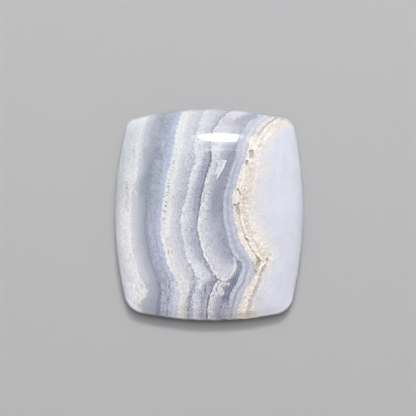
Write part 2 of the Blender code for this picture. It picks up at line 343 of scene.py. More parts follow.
# Fine lines and lobes that belong to no layer: the name, the shade, the half width in millimetres and
# the strength of each, and then x and y of the points that it runs through, in turn.
STROKES = (
    ("flag", "frost", 0.34, 0.9, (1.75, 6.75, 1.6, 6.3, 1.2, 5.6)),
    ("flag_edge", "snow", 0.1, 1.0, (1.55, 7.15, 2.2, 7.1, 1.75, 6.0, 1.35, 5.3, 1.0, 4.85)),
    ("flag_streak", "milk", 0.09, 0.8, (1.35, 7.05, 1.25, 6.4, 1.0, 5.8, 0.8, 5.3)),
    ("flag_spot", "vein", 0.12, 0.6, (1.5, 6.45, 1.55, 6.4)),
    ("flag_shadow", "ink", 0.09, 0.8, (2.45, 6.95, 2.0, 5.85, 1.3, 4.75)),
    ("tongue_streak", "smoke", 0.15, 0.6, (0.3, 7.1, -0.1, 5.9, -0.5, 4.7, -0.78, 3.5, -0.78, 1.8)),
    ("tongue_dusk", "slate", 0.5, 0.35, (1.5, -2.4, 1.9, -3.3, 2.2, -4.3)),
    ("left_strand", "snow", 0.09, 0.9, (1.29, -8.66, 0.9, -9.16, 0.57, -9.93, 0.05, -11.26, -0.12, -12.5)),
    ("right_strand", "snow", 0.08, 0.8, (1.56, -8.88, 1.32, -9.5, 1.15, -10.0, 0.9, -10.7)),
    ("lobe", "fog", 0.24, 0.7, (1.6, -9.85, 1.68, -10.4)),
    ("lobe_edge", "snow", 0.07, 0.8,
     (1.51, -9.6, 1.84, -9.93, 1.95, -10.43, 1.62, -10.7, 1.4, -10.43, 1.4, -9.82)),
    ("left_shadow", "soot", 0.08, 0.7, (1.46, -8.94, 1.12, -9.4, 0.95, -9.95)),
    ("tip_shadow", "ink", 0.1, 0.9, (2.1, -8.85, 2.9, -8.65)),
    ("lobe_shadow", "ink", 0.1, 0.9, (1.9, -9.65, 2.05, -10.2)),
    ("fading_foot", "pewter", 0.8, 0.8, (2.2, -12.1, 2.05, -13.9)),
    ("tip_rim", "snow", 0.08, 0.8,
     (-0.25, -5.75, 0.42, -7.1, 1.2, -8.25, 1.95, -8.65, 2.75, -8.2, 3.35, -7.15, 3.5, -6.1)),
    ("teal_pool", "ink", 0.28, 0.6, (0.65, -8.6, 0.2, -9.2)),
    ("mauve_pool", "mauve", 0.36, 0.6, (1.25, -10.9, 1.1, -12.6)),
    ("tip_bubble", "snow", 0.06, 0.8, (1.6, -8.3, 1.8, -8.13, 2.0, -8.3, 1.85, -8.5)),
    ("tip_outline", "soot", 0.08, 0.85, (-0.5, -5.7, 0.1, -7.0, 0.55, -7.75, 1.1, -8.45, 1.6, -8.75)),
    ("tip_edge", "fog", 0.18, 0.5, (3.25, -5.75, 3.4, -6.4)),
    ("loop_body", "mist", 0.24, 0.8, (1.95, -9.15, 2.5, -9.1)),
    ("loop_strand", "milk", 0.06, 0.8, (1.56, -9.04, 2.12, -9.08, 2.67, -8.86, 2.5, -9.32)),
    ("lower_outline", "soot", 0.08, 0.85, (1.02, -8.66, 0.46, -9.5, 0.02, -10.5, -0.2, -11.5, -0.31, -13.8)),
    ("teal_cells", "night", 0.62, 0.8, (0.1, -9.0, -0.6, -9.6, -1.05, -10.5)),
    ("foot_stain", "vein", 0.38, 0.45, (4.0, -13.25, 5.9, -13.1)),
    ("second_vein", "vein", 0.07, 0.6, (5.03, 0.33, 5.3, -1.39, 5.69, -3.11, 6.49, -4.7, 7.28, -5.89)),
    ("loop", "vein", 0.08, 0.9, (6.6, -3.92, 6.88, -4.2, 6.82, -4.62, 6.5, -4.76, 6.32, -4.38, 6.6, -3.92)),
    ("elbow", "vein", 0.34, 0.5, (6.35, -6.2, 6.05, -7.7)),
    # Painted shadow along the upper edge of the elbow pit.
    ("elbow_pit_shadow", "bark_and_pit_shadow", 0.12, 0.8, (6.14, -5.33, 6.72, -6.05)),
    ("elbow_ridge", "ivory", 0.11, 0.9, (5.03, -2.91, 5.5, -3.97, 6.15, -4.97, 6.95, -5.85, 7.4, -6.36)),
    ("end_lump", "ivory", 0.26, 0.8, (7.95, -5.6, 8.15, -5.8)),
    ("left_ridge", "ivory", 0.11, 0.8, (4.2, -0.3, 4.5, -1.5, 5.03, -2.91)),
    ("right_ridge", "ivory", 0.24, 0.7, (5.3, -0.9, 5.75, -2.3, 6.5, -3.3, 7.3, -4.7)),
    ("upper_vein", "tan", 0.28, 0.9, (5.85, 6.0, 5.6, 4.6, 5.35, 3.3, 5.1, 2.3)),
    ("loop_heart", "ivory", 0.2, 0.7, (6.6, -4.3, 6.62, -4.4)),
    ("grey_shelf", "dove", 0.34, 0.8, (5.75, -7.6, 5.62, -8.25)),
    ("bend_line", "bark_and_pit_shadow", 0.09, 0.6, (7.42, -6.5, 7.2, -6.95, 6.88, -7.5)),
    ("foot_haze", "speck", 0.36, 0.25, (7.1, -8.6, 6.95, -9.4, 6.4, -11.2)),
    ("foot_lace", "milk", 0.45, 0.6, (7.8, -7.6, 6.95, -9.3, 6.4, -10.6, 6.0, -12.2)),
    # Painted shade in the groove at the seam's lower end.
    ("foot_groove_shade", "speck", 0.3, 0.2, (6.2, -9.2, 5.85, -10.7)),
    ("pit_fringe", "ivory", 0.22, 0.9, (5.05, 7.5, 5.25, 7.05)),
    ("fork_fringe", "ivory", 0.12, 0.7, (3.3, 3.1, 3.2, 2.2, 3.12, 1.5)),
    ("grey_spot", "speck", 0.18, 0.8, (6.08, -7.35, 6.12, -7.45)),
    ("white_fringe", "milk", 0.13, 0.5, (-9.9, 3.3, -9.55, 2.65)),
    ("lilac_crack", "frost", 0.05, 0.25, (-9.8, 2.5, -7.5, 2.4, -5.2, 2.55)),
    ("dusky_edge", "ash", 0.4, 0.3, (-0.33, 7.9, -0.6, 6.5, -1.2, 4.6, -1.5, 2.6, -1.75, 0.6)),
    ("dusky_cells", "ink", 0.5, 0.6, (-0.33, 7.9, -0.6, 6.5, -1.2, 4.6, -1.5, 2.6, -1.75, 0.6)),
    ("dark_patch", "slate", 0.85, 0.4, (-7.6, 4.9, -8.0, 3.9, -8.05, 2.6)),
    ("upper_dark", "ink", 0.5, 0.5, (-7.05, 10.2, -6.9, 9.0, -6.5, 7.6)),
    ("pale_crown", "dove", 0.9, 0.35, (-7.3, 11.8, -6.7, 9.6)),
    ("left_dark", "smoke", 0.6, 0.5, (-8.2, 8.3, -8.1, 7.2)),
    ("rim_cool", "aqua", 0.8, 0.6, (-11.4, 8.5, -11.8, 5.5, -12.1, 2.5)),
    ("rim_specks", "speck", 0.36, 0.45, (-11.0, 4.2, -10.75, 2.0, -10.9, 0.8)),
    ("crown_patch", "smoke", 0.42, 0.75, (3.8, 12.3, 4.8, 12.7, 6.1, 13.0)),
    ("crown_tail", "smoke", 0.3, 0.5, (5.3, 12.8, 4.7, 12.3, 4.25, 11.6)),
    ("crown_vein", "vein", 0.13, 0.85, (6.45, 10.5, 7.0, 11.3, 7.8, 11.95, 8.9, 12.8)),
    ("crown_ridge", "ivory", 0.12, 0.8, (6.85, 10.4, 7.45, 11.4, 8.3, 12.1, 9.3, 12.6)),
    ("upper_cream", "ivory", 0.5, 0.7, (5.5, 9.7, 5.85, 9.0)),
    ("upper_sand", "sand", 0.6, 0.6, (7.0, 9.6, 7.9, 10.7, 9.4, 12.0)),
    ("tongue_blush", "mauve", 0.42, 0.5, (1.1, -0.7, 1.1, -1.9)),
    ("warm_specks", "vein", 0.4, 0.35,
     (-5.3, -3.4, -4.9, -5.5, -4.3, -7.3, -3.5, -9.0, -3.3, -11.0, -3.5, -13.2)),
    ("dusky_line", "soot", 0.09, 1.0,
     (0.22, 8.3, 0.22, 7.2, -0.13, 6.3, -0.53, 4.9, -0.84, 3.8, -1.1, 2.4, -1.3, 1.0)),
    ("upper_notch", "storm", 0.12, 0.35, (-9.0, -9.25, -8.75, -9.6)),
    ("lower_notch", "speck", 0.15, 0.5, (-9.2, -11.9, -9.1, -12.4)),
    ("crown_haze", "mauve", 0.6, 0.45, (2.2, 12.3, 3.3, 12.1, 4.6, 12.2)),
    ("thread_cells", "night", 0.28, 0.75, (-2.1, -8.2, -2.35, -9.5, -2.75, -11.5)),
    ("field_crack", "milk", 0.07, 0.6, (7.95, -2.84, 11.6, -1.76)),
)

# Strokes of which only patches show.
PATCHY = (
    "teal_cells", "right_ridge", "foot_haze", "foot_lace", "dusky_cells", "rim_specks", "warm_specks",
    "thread_cells",
)

# The stone is a little greener at its upper end and more purple further down, and its lower edge is
# warmer.
COOL_TINT = (0.975, 1.0, 0.993, 1.0)
WARM_TINT = (1.0, 0.99, 0.998, 1.0)
ROSE_TINT = (1.01, 0.985, 0.965, 1.0)

# Below the girdle the layers lean to the +X side, by about this much for each millimetre down.
LAYER_LEAN = 0.55
GIRDLE_LEVEL = 1.7

# Where the seam starts and ends on the layer coordinate, and over how much of it the seam's finish
# sets in and fades out.
SEAM_START = 15.0
SEAM_END = 18.0
SEAM_ONSET = 0.1
SEAM_FADE = 1.2

# Fine lines along the layers: where each lies on the layer coordinate, and how far from there it has
# gone and is at its full strength.
TONGUE_OUTLINE = (10.94, (0.16, 0.04))
SEAM_BORDER = (14.95, (0.12, 0.03))
SEAM_VEIN = (16.0, (0.2, 0.05))

# The row of dark dots in the second white band: its place on the layer coordinate, the distance from
# dot to dot, and the radii at which a dot has gone and is at its full strength, in millimetres.
DOT_LAYER = 6.36
DOT_SPACING = 0.58
DOT_RADII = (0.17, 0.08)

# A stroke fades between these shares of its half width.
STROKE_FADE = (1.3, 0.5)

# Levels between which a part of the stone fades in, in millimetres along Y or Z.
UPPER_COLOURS = (6.2, 8.6)
LOWER_EDGE = (-11.8, -12.9)
DOME_FOOT = (1.7, 2.1)
BACK_FACE = (0.25, 0.02)

# What the stone's tone gains along Y: each step starts, ends and adds this much.
TONE_LEVEL = 0.045
TONE_STEPS = ((-1.5, 3.0, -0.095), (-7.5, -9.5, -0.03))
SEAM_TONE_STEPS = ((-7.5, -9.5, 0.055), (7.0, 8.5, -0.065))
# In the pale field the step below lightens its lower end: painted light against the dome's shade there.
FIELD_PAINTED_LIGHT_STEPS = ((-8.0, -12.0, 0.035),)

# The place across the stone of its dark core near the upper end.
UPPER_CORE = -7.5

# How deep below the polished face a pit's floor starts and is fully rough, in millimetres.
PIT_FLOOR = (0.04, 0.09)

POLISH = 0.05
PIT_ROUGHNESS = 0.8
STONE_IOR = 1.54
BUMP_HEIGHT = 0.09 * MM

# Edges that are sharper than this stay sharp: the rims of the pits.
SHARP_ANGLE = math.radians(38)


def linear(shade):
    """Linear values of a colour that is written as three numbers from 0 to 255."""
    return tuple(((part / 255 + 0.055) / 1.055) ** 2.4 for part in shade)


def length(name, description, default):
    """A property for a length in metres."""
    return bpy.props.FloatProperty(
        name=name, description=description, default=default, subtype="DISTANCE", unit="LENGTH",
        precision=5,
    )


def colour(name, description, shade):
    """A property for a colour that is given as three numbers from 0 to 255."""
    return bpy.props.FloatVectorProperty(
        name=name, description=description, default=linear(shade), subtype="COLOR", min=0.0, max=1.0,
    )


class CabochonSizes(bpy.types.PropertyGroup):
    """Sizes of the stone that the outline doesn't give, each an input of the tree that cuts it."""

    thickness: length("Thickness", "From the flat back to the crown", HIGH.z - LOW.z)
    girdle_top: length("Girdle Top", "Height at which the dome starts", 1.7 * MM)
    girdle_lean: length("Girdle Lean", "How much the girdle draws in as it rises", 0.20 * MM)
    back_bevel: length("Back Bevel", "Width of the rounded edge of the back", 0.45 * MM)
    seam_relief: length("Seam Relief", "Depth of the grain in the cream seam", 0.032 * MM)
    dome_fullness: bpy.props.FloatProperty(
        name="Dome Fullness", description="A larger power makes a flatter crown", default=2.2)
    dome_shoulder: bpy.props.FloatProperty(
        name="Dome Shoulder", description="A smaller power makes a rounder shoulder", default=0.55)
    corner_spread: bpy.props.FloatProperty(
        name="Corner Spread", description="How late the dome takes on the corners", default=4.0)
    dome_rings: bpy.props.IntProperty(
        name="Dome Rings", description="Rings of the mesh from the crown to the girdle", default=132)
    side_rings: bpy.props.IntProperty(
        name="Side Rings", description="Rings of the girdle, and of the bevel below it", default=5)


class CabochonColours(bpy.types.PropertyGroup):
    """Colours of the layers."""

    snow: colour("Snow", "The brightest edge of a white band", (235, 233, 236))
    milk: colour("Milk", "The white bands", (229, 227, 230))
    fog: colour("Fog", "The rim's pale lavender", (221, 221, 227))
    frost: colour("Frost", "Pale lavender beside the white bands", (214, 215, 221))
    haze: colour("Haze", "Pale lavender", (206, 206, 215))
    mist: colour("Mist", "Light lavender", (198, 198, 209))
    dove: colour("Dove", "Lavender grey", (188, 189, 200))
    pewter: colour("Pewter", "Middle lavender grey", (179, 181, 195))
    storm: colour("Storm", "Grey that turns blue", (172, 174, 189))
    smoke: colour("Smoke", "Dark lavender grey", (165, 168, 184))
    slate: colour("Slate", "The dark core line", (157, 161, 177))
    ash: colour("Ash", "The tongue's dark side", (149, 152, 168))
    ink: colour("Ink", "The darkest threads", (140, 143, 163))
    night: colour("Night", "The dark wedge below the tongue", (128, 132, 153))
    ice: colour("Ice", "The palest blue", (193, 198, 213))
    sky: colour("Sky", "The periwinkle strip", (182, 188, 208))
    thread: colour("Thread", "The light strands beside the tongue", (188, 193, 208))
    lace: colour("Lace", "The blue lace", (167, 173, 191))
    ivory: colour("Ivory", "The bright edge of the seam", (247, 239, 229))
    cream: colour("Cream", "The seam", (236, 227, 218))
    sand: colour("Sand", "The seam's darker patches", (227, 217, 208))
    tan: colour("Tan", "The seam's darkest band", (220, 210, 202))
    shell: colour("Shell", "The seam where it fades", (229, 224, 221))
    pearl: colour("Pearl", "The last of the seam", (224, 220, 221))
    aqua: colour("Aqua", "The cool white at the rim's upper end", (209, 213, 220))
    # Also the painted shadow at the upper edge of the elbow pit.
    bark_and_pit_shadow: colour("Bark", "The darkest slits in the seam", (132, 120, 110))
    mauve: colour("Mauve", "Warm grey patches below the tongue", (180, 175, 190))
    veil: colour("Veil", "The pale field", (218, 219, 232))
    chalk: colour("Chalk", "The warm heart of a white band", (223, 222, 221))
    soot: colour("Soot", "The darkest outlines and dots", (120, 120, 134))
    speck: colour("Speck", "Dark grains in the white bands", (150, 146, 148))
    vein: colour("Vein", "The vein in the seam", (188, 177, 170))
    umber: colour("Umber", "Inside the pits", (203, 196, 190))


class StudioSettings(bpy.types.PropertyGroup):
    """The floor, the lights and the camera."""

    floor: colour("Floor", "Colour of the floor", (116, 116, 117))
    floor_size: length("Floor Size", "Side of the square floor", 0.9)
    frame_width: length("Frame Width", "What the picture shows, from side to side", 0.0551)
    camera_height: length("Camera Height", "From the floor to the camera", 0.6)


class Wire:
    """A socket of a node tree. Sums and products of wires add Math nodes to the tree."""

    def __init__(self, tree, socket=None):
        self.tree = tree
        self.socket = socket

    def node(self, kind, settings=None, sockets=None, output=0):
        """Add a node of a type, give it its settings, fill its sockets, and return one output."""
        item = self.tree.nodes.new(kind)
        for name, value in (settings or {}).items():
            if name == "stops":
                fill_ramp(item.color_ramp, value)
            elif name == "points":
                fill_curve(item.mapping, value)
            else:
                setattr(item, name, value)
        for key, value in (sockets or {}).items():
            socket = pick(item.inputs, key)
            if isinstance(value, Wire):
                self.tree.links.new(value.socket, socket)
            else:
                socket.default_value = value
        return Wire(self.tree, pick(item.outputs, output))

    def maths(self, operation, *others):
        return self.node("ShaderNodeMath", {"operation": operation}, dict(enumerate((self, *others))))

    def __add__(self, other):
        return self.maths("ADD", other)

    def __radd__(self, other):
        return self.maths("ADD", other)

    def __sub__(self, other):
        return self.maths("SUBTRACT", other)

    def __rsub__(self, other):
        return self.node("ShaderNodeMath", {"operation": "SUBTRACT"}, {0: other, 1: self})

    def __mul__(self, other):
        return self.maths("MULTIPLY", other)

    def __rmul__(self, other):
        return self.maths("MULTIPLY", other)

    def __truediv__(self, other):
        return self.maths("DIVIDE", other)

    def __rtruediv__(self, other):
        return self.node("ShaderNodeMath", {"operation": "DIVIDE"}, {0: other, 1: self})

    def __pow__(self, other):
        return self.maths("POWER", other)

    def __abs__(self):
        return self.maths("ABSOLUTE")

    def held(self):
        """This value, but never below 0 or above 1."""
        return self.maths("MAXIMUM", 0.0).maths("MINIMUM", 1.0)

    def between(self, low, high):
        """A smooth step from 0 at low to 1 at high. Low may be the larger of the two."""
        return self.node(
            "ShaderNodeMapRange", {"interpolation_type": "SMOOTHSTEP"},
            {"Value": self, "From Min": low, "From Max": high},
        )

    def vector(self, operation, other=None, output=0):
        sockets = {0: self} if other is None else {0: self, 1: other}
        return self.node("ShaderNodeVectorMath", {"operation": operation}, sockets, output)

    def scaled(self, factor):
        return self.node("ShaderNodeVectorMath", {"operation": "SCALE"}, {0: self, "Scale": factor})

    def parts(self):
        """The X, Y and Z of a vector."""
        x = self.node("ShaderNodeSeparateXYZ", sockets={0: self})
        return [Wire(self.tree, socket) for socket in x.socket.node.outputs]

    def channels(self):
        """The red, green and blue of a colour."""
        red = self.node("ShaderNodeSeparateColor", sockets={0: self})
        return [Wire(self.tree, socket) for socket in red.socket.node.outputs]

    def joined(self, x, y, z):
        return self.node("ShaderNodeCombineXYZ", sockets={0: x, 1: y, 2: z})

    def mixed(self, other, factor, blend="MIX"):
        """This colour, mixed with another one by a factor."""
        settings = {"data_type": "RGBA", "blend_type": blend}
        return self.node("ShaderNodeMix", settings, {"Factor": factor, "A": self, "B": other})

    def swing(self, scale, detail=2.0, roughness=0.5):
        """Noise that is below 0 as often as above it, and mostly between -1 and 1."""
        return (self.noise(scale, detail, roughness) - 0.5) * 5.0

    def noise(self, scale, detail=2.0, roughness=0.5, distortion=0.0):
        sockets = {
            "Vector": self, "Scale": scale, "Detail": detail, "Roughness": roughness,
            "Distortion": distortion,
        }
        return self.node("ShaderNodeTexNoise", {"noise_dimensions": "3D"}, sockets)


def pick(sockets, key):
    """The socket in use with a name, or at a place among those in use."""
    in_use = [socket for socket in sockets if socket.enabled]
    if isinstance(key, int):
        return in_use[key]
    return next(socket for socket in in_use if socket.name == key)


def fill_ramp(ramp, stops):
    """Give a colour ramp its stops, each a place from 0 to 1 and a colour of four values."""
    while len(ramp.elements) < len(stops):
        ramp.elements.new(1.0)
    for element, (place, shade) in zip(ramp.elements, stops):
        element.position = place
        element.color = shade


def fill_curve(mapping, points):
    """Give a float curve its points, each from 0 to 1 both ways and in rising order."""
    curve = mapping.curves[0]
    while len(curve.points) < len(points):
        curve.points.new(0.5, 0.5)
    for point, place in zip(curve.points, points):
        point.location = place
        point.handle_type = "AUTO_CLAMPED"
    mapping.update()


def share_of(value, low, high):
    return (value - low) / (high - low)


def pairs(values):
    """The values two by two."""
    return list(zip(values[::2], values[1::2]))


def curve_at(along, values, low=0.0, high=1.0):
    """A curve through y and value in turn, read at how far along the stone a place is."""
    places = sorted((share_of(y, *SPAN), share_of(value, low, high)) for y, value in pairs(values))
    return along.node("ShaderNodeFloatCurve", {"points": places}, {"Value": along})


def edge_share(along, name):
    """How far across the stone the end of a named layer is, as a share, from how far along it is."""
    return curve_at(along, LAYERS[name]["end"], -HALF_WIDTH_LIMIT, HALF_WIDTH_LIMIT)


def edge_at(y, name):
    """X of the end of a named layer at a wire y, both in millimetres."""
    return edge_share(share_of(y, *SPAN), name) * (2 * HALF_WIDTH_LIMIT) - HALF_WIDTH_LIMIT


def side_circle(start, end, bulge):
    """Centre and radius of the arc that runs anticlockwise from start to end and bulges outwards."""
    chord = end - start
    half = chord.length / 2
    radius = (half * half + bulge * bulge) / (2 * bulge)
    outward = Vector((chord.y, -chord.x)).normalized()
    return (start + end) / 2 - outward * (radius - bulge), radius


def corner_centre(corner, radius, before, after):
    """Centre of the round that touches the side arcs before and after a corner from the inside."""
    (centre_a, radius_a), (centre_b, radius_b) = before, after
    reach_a = radius_a - radius
    reach_b = radius_b - radius
    gap = centre_b - centre_a
    along = (reach_a**2 - reach_b**2 + gap.length_squared) / (2 * gap.length)
    across = math.sqrt(reach_a**2 - along**2)
    unit = gap.normalized()
    normal = Vector((-unit.y, unit.x))
    foot = centre_a + unit * along
    choices = (foot + normal * across, foot - normal * across)
    return min(choices, key=lambda point: (point - corner).length)


def heading(vector):
    return math.atan2(vector.y, vector.x)


def turned_on(angle, start):
    """The same direction as angle, written as the first value at or past start."""
    return start + (angle - start) % math.tau


def outline_arcs():
    """For each side, its three arcs from the middle of one corner to the middle of the next."""
    corners = [Vector(corner["at"]) * MM for corner in CORNERS]
    count = len(corners)
    sides = [
        side_circle(corners[i], corners[(i + 1) % count], CORNERS[i]["bulge"] * MM)
        for i in range(count)
    ]
    radii = [corner["radius"] * MM for corner in CORNERS]
    centres = [corner_centre(corners[i], radii[i], sides[i - 1], sides[i]) for i in range(count)]
    spans = []
    for i in range(count):
        first = heading(centres[i] - sides[i - 1][0])
        spans.append((first, turned_on(heading(centres[i] - sides[i][0]), first)))
    paths = []
    for i in range(count):
        after = (i + 1) % count
        first, turn = spans[i]
        next_first, next_turn = spans[after]
        side_start = turn
        side_end = turned_on(heading(centres[after] - sides[i][0]), side_start)
        paths.append((
            (centres[i], radii[i], (first + turn) / 2, turn),
            (*sides[i], side_start, side_end),
            (centres[after], radii[after], next_first, (next_first + next_turn) / 2),
        ))
    return paths


def outline_samples():
    """Points on the closed outline, anticlockwise, as many on each side and evenly spaced there."""
    points = []
    for arcs in outline_arcs():
        lengths = [radius * (last - first) for _, radius, first, last in arcs]
        for step in range(SIDE_SAMPLES):
            travel = sum(lengths) * step / SIDE_SAMPLES
            for (centre, radius, first, _), size in zip(arcs, lengths):
                if travel <= size:
                    break
                travel -= size
            angle = first + travel / radius
            points.append(centre + radius * Vector((math.cos(angle), math.sin(angle))))
    low = Vector((min(p.x for p in points), min(p.y for p in points)))
    high = Vector((max(p.x for p in points), max(p.y for p in points)))
    return [point - (low + high) / 2 for point in points]


def place_object(name, mesh):
    item = bpy.data.objects.new(name, mesh)
    bpy.context.scene.collection.objects.link(item)
    return item


def outline_object():
    """A closed loop of edges on the outline."""
    points = outline_samples()
    count = len(points)
    mesh = bpy.data.meshes.new("outline")
    edges = [(i, (i + 1) % count) for i in range(count)]
    mesh.from_pydata([(*point, 0.0) for point in points], edges, [])
    return place_object("outline", mesh)


def pit_marks():
    """One point for each pit, with its size and the way it points."""
    mesh = bpy.data.meshes.new("pit_marks")
    mesh.from_pydata([(pit["at"][0] * MM, pit["at"][1] * MM, 0.0) for pit in PITS], [], [])
    mesh.attributes.new("pit_size", "FLOAT_VECTOR", "POINT")
    mesh.attributes.new("pit_turn", "FLOAT", "POINT")
    for index, pit in enumerate(PITS):
        along, across, deep = pit["size"]
        mesh.attributes["pit_size"].data[index].vector = (along / 2 * MM, across / 2 * MM, deep * MM)
        mesh.attributes["pit_turn"].data[index].value = math.radians(pit["turn"])
    return place_object("pit_marks", mesh)


# The kind of socket that takes each kind of value.
SOCKET_KINDS = {
    float: "NodeSocketFloat",
    int: "NodeSocketInt",
    bpy.types.Object: "NodeSocketObject",
    bpy.types.Material: "NodeSocketMaterial",
}

# How the rings crowd towards the girdle: 0 would space them evenly, and a right angle the most.
RING_CROWDING = 1.2

# A length too small to matter, in metres.
NOTHING = 1e-6

# How ragged the rims of the pits are.
PIT_RAGGEDNESS = 0.07 * MM

# Pits are cut in turns, so that no two of a group overlap.
PIT_GROUPS = 3


def outline_point(start, outline, turn):
    """Place on the outline at a number of samples from its first corner."""
    total = 4 * SIDE_SAMPLES
    before = turn.maths("FLOOR")
    position = start.node("GeometryNodeInputPosition")

    def sample(index):
        sockets = {"Geometry": outline, "Value": position, "Index": index.maths("MODULO", total)}
        return start.node("GeometryNodeSampleIndex", {"data_type": "FLOAT_VECTOR"}, sockets)

    sockets = {"Factor": turn - before, "A": sample(before), "B": sample(before + 1)}
    return start.node("ShaderNodeMix", {"data_type": "VECTOR"}, sockets)


def round_turn(u, v, reach):
    """How far round the outline a place on the square grid is, in samples."""
    across = (u / reach + 1) * (SIDE_SAMPLES / 2)
    along = (v / reach + 1) * (SIDE_SAMPLES / 2)
    lower = across
    right = along + SIDE_SAMPLES
    upper = 3 * SIDE_SAMPLES - across
    left = 4 * SIDE_SAMPLES - along
    ends = lower + (upper - lower) * v.maths("GREATER_THAN", 0.0)
    sides = left + (right - left) * u.maths("GREATER_THAN", 0.0)
    on_end = abs(v).maths("GREATER_THAN", abs(u) - NOTHING)
    return sides + (ends - sides) * on_end


def stone_surface(start, inlet, outline):
    """The whole stone before its grain and pits: a square grid wrapped over dome, girdle and bevel."""
    dome_rings = inlet("Dome Rings")
    side_rings = inlet("Side Rings")
    all_rings = dome_rings + side_rings * 2
    count = all_rings * 2 + 1
    sockets = {"Size X": 2.0, "Size Y": 2.0, "Vertices X": count, "Vertices Y": count}
    grid = start.node("GeometryNodeMeshGrid", sockets=sockets)
    u, v, _ = start.node("GeometryNodeInputPosition").parts()
    square = abs(u).maths("MAXIMUM", abs(v))
    reach = square.maths("MAXIMUM", NOTHING)
    ring = square * all_rings
    dome_share = (ring / dome_rings).maths("MINIMUM", 1.0)
    share = (dome_share * RING_CROWDING).maths("SINE") / math.sin(RING_CROWDING)
    girdle_share = ((ring - dome_rings) / side_rings).held()
    bevel_angle = ((ring - dome_rings) / side_rings - 1).held() * (math.pi / 2)

    edge = outline_point(start, outline, round_turn(u, v, reach))
    size = edge.vector("LENGTH", output="Value")
    ray = edge.vector("NORMALIZE")
    ray_x, ray_y, _ = ray.parts()
    ellipse = 1 / ((ray_x / inlet("Half Width")) ** 2 + (ray_y / inlet("Half Length")) ** 2) ** 0.5
    spread = share ** inlet("Corner Spread")
    lean = inlet("Girdle Lean")
    bevel = inlet("Back Bevel")
    top = inlet("Girdle Top")
    dome_reach = share * (ellipse + spread * (size - ellipse - lean))
    side_reach = lean * girdle_share - bevel * (1 - bevel_angle.maths("COSINE"))
    rise = (1 - share ** inlet("Dome Fullness")).maths("MAXIMUM", 0.0) ** inlet("Dome Shoulder")
    height = top + (inlet("Thickness") - top) * rise
    drop = (top - bevel) * girdle_share + bevel * bevel_angle.maths("SINE")
    flat = ray.scaled(dome_reach + side_reach)
    place = flat.vector("ADD", start.joined(0.0, 0.0, height - drop))
    return start.node("GeometryNodeSetPosition", sockets={"Geometry": grid, "Position": place})


def closed_back(start, surface):
    """The surface with its open edge drawn in over the flat back, in two steps to the middle."""
    neighbours = start.node("GeometryNodeInputMeshEdgeNeighbors")
    rim = neighbours.maths("LESS_THAN", 1.5)
    for share in (0.5, 0.0):
        sockets = {"Mesh": surface, "Selection": rim, "Offset Scale": 0.0}
        surface = start.node("GeometryNodeExtrudeMesh", {"mode": "EDGES"}, sockets)
        rim = Wire(start.tree, surface.socket.node.outputs["Top"])
        position = start.node("GeometryNodeInputPosition")
        sockets = {"Geometry": surface, "Selection": rim, "Position": position.scaled(share)}
        surface = start.node("GeometryNodeSetPosition", sockets=sockets)
    return start.node("GeometryNodeMergeByDistance", sockets={"Geometry": surface, "Distance": NOTHING})


def seam_share(x, y):
    """1 inside the cream seam and 0 outside, from places in millimetres."""
    left = edge_at(y, "light_threads")
    right = edge_at(y, "seam_right")
    return (x - left).between(0.0, 0.35) * (right - x).between(-0.4, 0.3)


def grained(start, surface, depth):
    """Sink the surface a little, unevenly, where the cream seam meets it."""
    place = start.node("GeometryNodeInputPosition").scaled(1 / MM)
    x, y, z = place.parts()
    coarse = place.noise(scale=1.9, roughness=0.6)
    fine = place.noise(scale=4.2, detail=1.0)
    grain = coarse.between(0.40, 0.66) * 0.7 + fine.between(0.4, 0.7) * 0.3
    on_dome = z.between(1.8, 2.4)
    sink = grain * seam_share(x, y) * on_dome * depth
    offset = start.node("GeometryNodeInputNormal").scaled(sink * -1)
    return start.node("GeometryNodeSetPosition", sockets={"Geometry": surface, "Offset": offset})


def pit_cutters(start, surface, marks, group):
    """Ragged hollows that sit on the surface, at the pit marks of one group."""
    points = start.node("GeometryNodeObjectInfo", sockets={"Object": marks}, output="Geometry")
    index = start.node("GeometryNodeInputIndex")
    others = abs(index.maths("MODULO", PIT_GROUPS) - group).maths("GREATER_THAN", 0.5)
    points = start.node("GeometryNodeDeleteGeometry", sockets={"Geometry": points, "Selection": others})
    position = start.node("GeometryNodeInputPosition")
    sockets = {
        "Target Geometry": surface,
        "Source Position": position.vector("ADD", (0.0, 0.0, 1.0)),
        "Ray Direction": (0.0, 0.0, -1.0),
        "Ray Length": 2.0,
    }
    hit = start.node("GeometryNodeRaycast", sockets=sockets, output="Hit Position")
    normal = Wire(start.tree, hit.socket.node.outputs["Hit Normal"])
    lifted = start.node("GeometryNodeSetPosition", sockets={"Geometry": points, "Position": hit})
    turn = start.node(
        "GeometryNodeInputNamedAttribute", {"data_type": "FLOAT"}, {"Name": "pit_turn"})
    size = start.node(
        "GeometryNodeInputNamedAttribute", {"data_type": "FLOAT_VECTOR"}, {"Name": "pit_size"})
    long_way = start.joined(turn.maths("COSINE"), turn.maths("SINE"), 0.0)
    facing = start.node(
        "FunctionNodeAxesToRotation", {"primary_axis": "Z", "secondary_axis": "X"},
        {"Primary Axis": normal, "Secondary Axis": long_way},
    )
    hollow = start.node("GeometryNodeMeshIcoSphere", sockets={"Radius": 1.0, "Subdivisions": 4})
    sockets = {"Points": lifted, "Instance": hollow, "Rotation": facing, "Scale": size}
    placed = start.node("GeometryNodeInstanceOnPoints", sockets=sockets)
    cutters = start.node("GeometryNodeRealizeInstances", sockets={"Geometry": placed})
    place = start.node("GeometryNodeInputPosition").scaled(1 / MM)
    swell = (place.noise(scale=3.4, detail=3.0, roughness=0.65) - 0.5) * (2 * PIT_RAGGEDNESS)
    offset = start.node("GeometryNodeInputNormal").scaled(swell)
    return start.node("GeometryNodeSetPosition", sockets={"Geometry": cutters, "Offset": offset})


def socket_kind(value):
    return next(kind for sort, kind in SOCKET_KINDS.items() if isinstance(value, sort))


